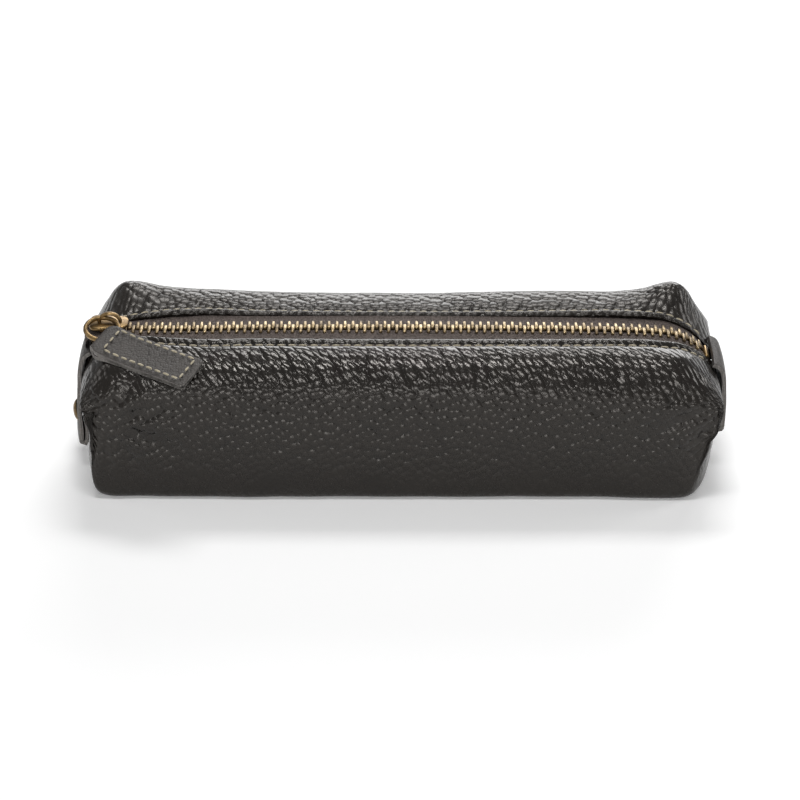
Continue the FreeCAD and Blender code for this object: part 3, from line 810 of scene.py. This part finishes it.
bm = bmesh.new()
surface = [(x, z + pull["leather"] / 2 + pullStitch["lift"]) for x, z in over]
near, far, side = pullStitch["box"]
outline = ((near, side), (far, side), (far, -side), (near, -side), (near, side))
corners = [Vector((x, y, 0)) for x, y in outline]
for a, b in zip(corners, corners[1:]):
    count = round((b - a).length / pullStitch["pitch"])
    reach = (b - a).normalized() * pullStitch["length"] / 2
    for k in range(count):
        mid = a.lerp(b, (k + 0.5) / count)
        ends = [mid - reach, mid + reach]
        for spot in ends:
            spot.z = level(surface, spot.x)
        addStitch(bm, *ends, Vector((0, 0, 1)), pullStitch["width"])
bmesh.ops.transform(bm, matrix=pullPlace, verts=bm.verts)
pullThread = finishPiece("pullStitches", bm, thread)
print("pull done")

# ring: through the slider's bail and the pull's fold
ring = {
    "through": (-91.8, -0.3, 50.7), "hold": (-93.3, -10.1, 48.9), "side": (-1.0, 0.0, 0.05),
    "radius": 5.15, "wire": 1.5,
}
bm = bmesh.new()
section = bmesh.ops.create_circle(bm, segments=14, radius=ring["wire"] / 2)["verts"]
bmesh.ops.rotate(bm, cent=(0, 0, 0), matrix=Matrix.Rotation(math.radians(90), 3, "X"), verts=section)
bmesh.ops.translate(bm, vec=(ring["radius"], 0, 0), verts=section)
spinRound(bm, bm.verts[:] + bm.edges[:], 56)
bmesh.ops.recalc_face_normals(bm, faces=bm.faces)
a, b = Vector(ring["through"]), Vector(ring["hold"])
chord = (b - a).normalized()
aside = Vector(ring["side"])
aside = (aside - chord * aside.dot(chord)).normalized()
centre = (a + b) / 2 + aside * math.sqrt(max(ring["radius"] ** 2 - (b - a).length_squared / 4, 0))
lay = Matrix.Translation(centre) @ Matrix((chord, aside, chord.cross(aside))).transposed().to_4x4()
bmesh.ops.transform(bm, matrix=lay, verts=bm.verts)
ringPiece = finishPiece("ring", bm, brass)

# slider: two plates on a post, with a bail for the ring; each plate has its height and where it ends
slider = {
    "start": -98.0, "plates": ((43.0, -89.5), (48.95, -86.0)), "thick": 1.15, "front": 8.8, "tail": 6.8,
    "tailFrom": -92, "corner": 2.4, "post": (3.0, 2.2), "postAt": 2.2, "sharp": 0.9, "round": 0.32,
}
bail = {"spot": -91.8, "half": 3.3, "rise": 3.0, "lift": 0.4, "wire": 0.6, "flat": 1.5}
bm = bmesh.new()
for z, end in slider["plates"]:
    long = end - slider["start"]
    one = addBox(bm, (long, 1, slider["thick"]), ((slider["start"] + end) / 2, 0, z))
    for v in one:
        v.co.y *= slider["tail"] if v.co.x > slider["tailFrom"] else slider["front"]
    corners = [e for e in edgesOf(one) if abs(e.verts[0].co.z - e.verts[1].co.z) > slider["thick"] / 2]
    roundOff(bm, corners, slider["corner"], 4)
(lowPlate, _), (topPlate, _) = slider["plates"]
addBox(
    bm, (*slider["post"], topPlate - lowPlate),
    (slider["start"] + slider["postAt"], 0, (lowPlate + topPlate) / 2))
roundOff(bm, sharpEdges(bm, slider["sharp"]), slider["round"], 2, clamp=True)
sliderPiece = finishPiece("slider", bm, brass)
bm = bmesh.new()
section = bmesh.ops.create_circle(bm, segments=12, radius=bail["wire"])["verts"]
bmesh.ops.scale(bm, vec=(1, bail["flat"], 1), verts=section)
bmesh.ops.translate(bm, vec=(bail["half"], 0, 0), verts=section)
bmesh.ops.spin(bm, geom=bm.verts[:] + bm.edges[:], cent=(0, 0, 0), axis=(0, -1, 0), angle=math.pi, steps=24)
bmesh.ops.recalc_face_normals(bm, faces=bm.faces)
bmesh.ops.scale(bm, vec=(1, 1, bail["rise"] / bail["half"]), verts=bm.verts)
bmesh.ops.translate(bm, vec=(bail["spot"], 0, topPlate + bail["lift"]), verts=bm.verts)
bailPiece = finishPiece("sliderBail", bm, brass)
print("ring and slider done")

# end tabs, each on a line of (x, height) that folds back up behind
tab = {
    "width": 18.0, "leather": 1.4, "round": 0.3, "corner": 2.2, "cornerShare": 0.8, "steps": 190,
    "across": 14, "narrow": 0.94, "narrowFrom": (42, 34), "bow": 0.35, "twist": 0.15, "twistFrom": (24, 12),
}
tabLines = {
    "left": [
        (-97.2, 42.4), (-99.4, 40.6), (-100.7, 36.5), (-101.2, 31.0), (-101.9, 24.0), (-103.3, 11.6),
        (-103.45, 10.0), (-103.25, 9.6), (-103.05, 10.0), (-102.85, 11.6), (-101.6, 22.0), (-101.0, 26.5)],
    "right": [
        (96.8, 38.4), (98.8, 37.4), (99.9, 35.0), (100.4, 30.0), (100.8, 24.0), (100.8, 16.4),
        (100.75, 15.2), (100.55, 14.9), (100.35, 15.2), (100.3, 17.0), (100.3, 23.5), (100.25, 28.5)],
}
rivet = {  # the head's outline as (radius, height), each rivet's place and lean, and a point behind it
    "head": [(0.0, 1.55), (1.2, 1.48), (2.3, 1.2), (3.1, 0.75), (3.55, 0.3), (3.7, 0.0)],
    "left": ((-104.0, 0, 16.5), -8.0), "right": ((101.5, 0, 20.4), 1.0), "behind": 2,
}


def tabWidth(z, low):  # half the width, with rounded corners at the fold
    wide = tab["width"] / 2 * mix(tab["narrow"], 1.0, smooth(*tab["narrowFrom"], z))
    drop = tab["corner"] - (z - low)
    if drop > 0:
        wide -= tab["cornerShare"] * (tab["corner"] - math.sqrt(max(tab["corner"] ** 2 - drop ** 2, 0)))
    return wide


tabPieces = []
sides = [2 * j / tab["across"] - 1 for j in range(tab["across"] + 1)]
for end, points in tabLines.items():
    line = fineLine(points)
    low = min(z for x, z in points)
    rows = []
    for k in range(tab["steps"] + 1):
        (x, z), _ = alongLine(line, line[1][-1] * k / tab["steps"])
        wide = tabWidth(z, low)
        twist = tab["twist"] * smooth(*tab["twistFrom"], z) if end == "left" else 0.0
        bows = [math.copysign(tab["bow"] * side ** 2, x) for side in sides]
        rows.append([Vector((x - bow - twist * wide * s, wide * s, z)) for bow, s in zip(bows, sides)])
    bm, verts = gridFrom(rows)
    thicken(bm, tab["leather"] * (1 if end == "left" else -1), tab["round"])
    tabPieces.append(finishPiece(end + "Tab", bm, strapLeather, edgePaintAndHighlight))
rivetPieces = []
for end in ("left", "right"):
    spot, lean = rivet[end]
    bm = bmesh.new()
    verts = [bm.verts.new((r, 0, h)) for r, h in rivet["head"]]
    edges = [bm.edges.new(pair) for pair in zip(verts, verts[1:])]
    spinRound(bm, verts + edges, 40)
    bmesh.ops.remove_doubles(bm, verts=bm.verts, dist=0.001)
    bmesh.ops.recalc_face_normals(bm, faces=bm.faces)
    out = math.copysign(1, spot[0])
    lay = Matrix.Translation(Vector(spot)) @ Matrix.Rotation(math.radians(90 * out + lean), 4, "Y")
    bmesh.ops.transform(bm, matrix=lay, verts=bm.verts)
    faceAway(bm, Vector(spot) - Vector((rivet["behind"] * out, 0, 0)))
    rivetPieces.append(finishPiece(end + "Rivet", bm, brass))
print("tabs done")

# the frame's own top stops get the brass
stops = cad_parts["top_stops"].data.materials
stops.clear()
stops.append(brass)

# what each piece moves with and stands for
softPieces = (
    (leatherPieces, liftShare), (liningPieces, liftShare), (tapePieces, zipLift), (toothPieces, zipLift),
    (stitchPieces, liftShare))
for side, lip in ((-1, "front_lip"), (1, "back_lip")):
    for pieces, share in softPieces:
        piece = pieces[side]
        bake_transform(piece, "case", lip, start=(0, 0, 0.03), end=(0, 0, 0.05))
        weights = piece.data.attributes["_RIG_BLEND"]
        weights.data.foreach_set("value", [share(v.co / mm) for v in piece.data.vertices])
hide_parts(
    "body_panel", "left_lower_end", "right_lower_end", "left_upper_end", "right_upper_end",
    "front_lip")
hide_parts("back_lip")
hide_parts("body_lining", "left_lining", "right_lining", "front_facing")
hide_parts("back_facing")
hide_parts("front_tape", "left_tape", "right_tape")
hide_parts("back_tape")
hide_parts("front_teeth", "left_teeth", "right_teeth")
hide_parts("back_teeth")
for piece, body, slot, *nodes in (
        (bottomStop, "case", "antique_brass", "bottom_stop"),
        (tabPieces[0], "case", "leather", "left_tab"),
        (tabPieces[1], "case", "leather", "right_tab"),
        (rivetPieces[0], "case", "antique_brass", "left_rivet", "left_rivet_washer"),
        (rivetPieces[1], "case", "antique_brass", "right_rivet", "right_rivet_washer"),
        (sliderPiece, "slider", "antique_brass", "slider_body"),
        (bailPiece, "slider", "antique_brass", "slider_crown"),
        (ringPiece, "pull_ring", "antique_brass", "pull_ring"),
        (pullPiece, "pull_strip", "leather", "pull_strip")):
    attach(piece, body)
    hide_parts(*nodes)
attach(pullThread, "pull_strip")

# floor, light and camera
studio = {
    "elevation": 32.5, "turn": 0.2, "distance": 0.75, "aim": (0, 0, 0.025), "lens": 106.0, "sensor": 36,
    "shift": (-0.004, -0.015), "clip": 0.01, "floor": 3000, "floorGlow": 0.17, "backdrop": (0.05, 0.42),
    "paper": (0.93, 0.93, 0.93, 1), "paperRough": 0.9, "paperShine": 0.1,
}
lamps = {  # place, aim, size and power
    "keyLight": ((-0.03, -0.18, 1.01), (0, 0, 0.03), (0.34, 0.11), 3.24),
    "frontKey": ((-0.03, -0.76, 0.72), (0, 0, 0.03), (0.30, 0.10), 1.53),
    "rearKey": ((0.05, 0.48, 0.93), (0, 0, 0.03), (0.44, 0.17), 3.6),
    "backLight": ((0.20, 1.25, 0.50), (0, 0, 0.03), (1.1, 0.6), 10.8),
    "sideLight": ((-1.0, 0.10, 0.62), (0, 0, 0.03), (0.4, 0.4), 1.08),
    "rightLight": ((0.90, 0.25, 0.50), (0.06, 0, 0.03), (0.3, 0.3), 1.62),
    "frontFill": ((-0.05, -1.28, 0.17), (0, 0, 0.03), (0.50, 0.20), 2.7),
}


def seenRays(tree):  # rays that show the background itself
    path = tree.nodes.new("ShaderNodeLightPath")
    mirrored = addMath(tree, "MAXIMUM", path.outputs["Is Glossy Ray"], path.outputs["Is Transmission Ray"])
    return addMath(tree, "MAXIMUM", path.outputs["Is Camera Ray"], mirrored)


def facing(ahead):
    return ahead.to_track_quat("-Z", "Y").to_euler()


bm = bmesh.new()
bmesh.ops.create_grid(bm, x_segments=8, y_segments=8, size=studio["floor"])
paper, tree, sheet, _ = startMaterial("paper")
sheet.inputs["Base Color"].default_value = studio["paper"]
sheet.inputs["Roughness"].default_value = studio["paperRough"]
sheet.inputs["Specular IOR Level"].default_value = studio["paperShine"]
sheet.inputs["Emission Color"].default_value = (1, 1, 1, 1)
glow = addMath(tree, "MULTIPLY", seenRays(tree), studio["floorGlow"])
tree.links.new(glow, sheet.inputs["Emission Strength"])
floor = finishPiece("floor", bm, paper)
floor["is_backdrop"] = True

for name, (spot, aim, size, power) in lamps.items():
    data = bpy.data.lights.new(name, "AREA")
    data.shape = "RECTANGLE"
    data.size, data.size_y = size
    data.energy = power
    lamp = bpy.data.objects.new(name, data)
    lamp.location = spot
    lamp.rotation_euler = facing(Vector(aim) - Vector(spot))
    bpy.context.collection.objects.link(lamp)
world = bpy.data.worlds.new("studio")
world.use_nodes = True
tree = world.node_tree
backdrop = tree.nodes["Background"]
backdrop.inputs["Color"].default_value = (1, 1, 1, 1)
strength = addRange(tree, seenRays(tree), 0.0, 1.0, *studio["backdrop"])
tree.links.new(strength, backdrop.inputs["Strength"])
bpy.context.scene.world = world

camera = bpy.data.objects.new("camera", bpy.data.cameras.new("camera"))
lift, turn = math.radians(studio["elevation"]), math.radians(studio["turn"])
away = Vector((math.sin(turn) * math.cos(lift), -math.cos(turn) * math.cos(lift), math.sin(lift)))
camera.location = Vector(studio["aim"]) + away * studio["distance"]
camera.rotation_euler = facing(-away)
camera.data.lens = studio["lens"]
camera.data.sensor_width = studio["sensor"]
camera.data.shift_x, camera.data.shift_y = studio["shift"]
camera.data.clip_start = studio["clip"]
bpy.context.collection.objects.link(camera)
bpy.context.scene.camera = camera
bpy.context.scene.view_settings.view_transform = "Standard"

low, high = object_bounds()
print("visual box", [round(c / mm, 1) for c in (*low, *high)])
